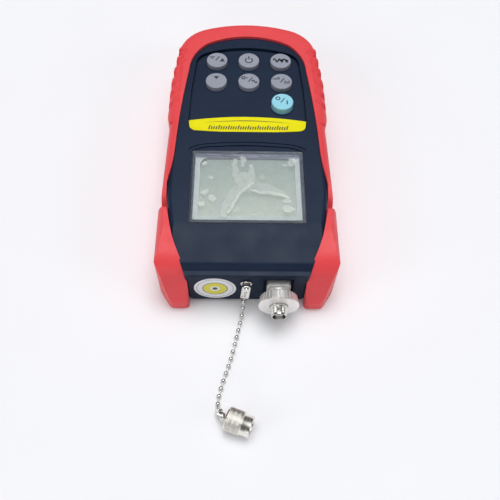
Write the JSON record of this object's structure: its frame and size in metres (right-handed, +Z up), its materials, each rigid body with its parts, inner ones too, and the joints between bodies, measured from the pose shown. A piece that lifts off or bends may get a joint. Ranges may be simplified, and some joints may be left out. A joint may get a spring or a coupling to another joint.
{
  "type": "optical power meter",
  "caption": "Handheld optical power meter in a grippy rubber boot, with display, push keys, screw-on fibre adapter and a dust cap on a bead chain.",
  "frame": {"origin": "on the surface it lies on, under the middle of the meter from the port's tip to the rubber at the battery end", "axes": "+Z up out of the display face; +Y along the meter from the optical port to the battery end; +X to the right as seen from above with the port towards the viewer"},
  "size_m": [0.0842, 0.2266, 0.034],
  "materials": {
    "shell": "fine satin texture",
    "boot": "soft satin",
    "key_grey": "matte silicone",
    "key_blue": "matte silicone",
    "window": "clear, polished",
    "film": "thin protective film",
    "lcd_white": "matte",
    "lcd_glass": "grey-green reflective display",
    "backlight": "milky",
    "circuit_board": "solder mask",
    "components": "moulded epoxy",
    "silicone": "translucent silicone",
    "strip": "printed film",
    "sticker": "printed label stock",
    "nickel": "nickel plate",
    "steel": "zinc plate",
    "ceramic": "polished ceramic",
    "battery": "wrapped steel can"
  },
  "bodies": {
    "meter": {"front_shell": "shell", "back_shell": "shell", "rubber_boot": "boot", "battery_cover": "shell", "battery_left": "battery", "battery_middle": "battery", "battery_right": "battery", "battery_contacts": "steel", "case_screws": "steel", "board_screws": "steel", "battery_cover_screw": "steel", "end_panel": "shell", "port_sticker": "sticker", "detector_receptacle": "nickel", "receptacle_nut": "nickel", "photodiode": "steel", "chain_anchor": "nickel", "chain_clasp": "nickel", "cap_clasp": "nickel", "bead_chain": "nickel", "dust_cap": "nickel", "cap_rivet": "nickel", "display_window": "window", "window_film": "film", "lcd_frame": "lcd_white", "lcd_glass": "lcd_glass", "lcd_backlight": "backlight", "main_board": "circuit_board", "board_components": "components", "key_mat": "silicone", "name_strip": "strip"},
    "key_up_cap": {"key_up": "key_grey"},
    "key_power_cap": {"key_power": "key_grey"},
    "key_mode_cap": {"key_mode": "key_grey"},
    "key_down_cap": {"key_down": "key_grey"},
    "key_wavelength_cap": {"key_wavelength": "key_grey"},
    "key_unit_cap": {"key_unit": "key_grey"},
    "key_source_cap": {"key_source": "key_blue"},
    "adapter": {"adapter_sleeve": "nickel", "alignment_sleeve": "ceramic"},
    "ring_nut": {"adapter_nut": "nickel"}
  },
  "joints": [
    {"name": "key_up_press", "type": "slide", "parent": "meter", "child": "key_up_cap", "axis": [0, 0, -1], "range_m": [0, 0.0009], "stiffness_N_per_m": 400},
    {"name": "key_power_press", "type": "slide", "parent": "meter", "child": "key_power_cap", "axis": [0, 0, -1], "range_m": [0, 0.0009], "stiffness_N_per_m": 400},
    {"name": "key_mode_press", "type": "slide", "parent": "meter", "child": "key_mode_cap", "axis": [0, 0, -1], "range_m": [0, 0.0009], "stiffness_N_per_m": 400},
    {"name": "key_down_press", "type": "slide", "parent": "meter", "child": "key_down_cap", "axis": [0, 0, -1], "range_m": [0, 0.0009], "stiffness_N_per_m": 400},
    {"name": "key_wavelength_press", "type": "slide", "parent": "meter", "child": "key_wavelength_cap", "axis": [0, 0, -1], "range_m": [0, 0.0009], "stiffness_N_per_m": 400},
    {"name": "key_unit_press", "type": "slide", "parent": "meter", "child": "key_unit_cap", "axis": [0, 0, -1], "range_m": [0, 0.0009], "stiffness_N_per_m": 400},
    {"name": "key_source_press", "type": "slide", "parent": "meter", "child": "key_source_cap", "axis": [0, 0, -1], "range_m": [0, 0.0009], "stiffness_N_per_m": 400},
    {"name": "adapter_slide", "type": "slide", "parent": "meter", "child": "adapter", "axis": [0, -1, 0], "range_m": [0, 0.00225]},
    {"name": "ring_nut_turn", "type": "hinge", "parent": "adapter", "child": "ring_nut", "pos_m": [0.0145, -0.08, 0.0133], "axis": [0, -1, 0], "range_deg": [0, 1080]}
  ],
  "couplings": [
    {"joint": "ring_nut_turn", "follows": "adapter_slide", "rad_per_m": 8377.6}
  ]
}
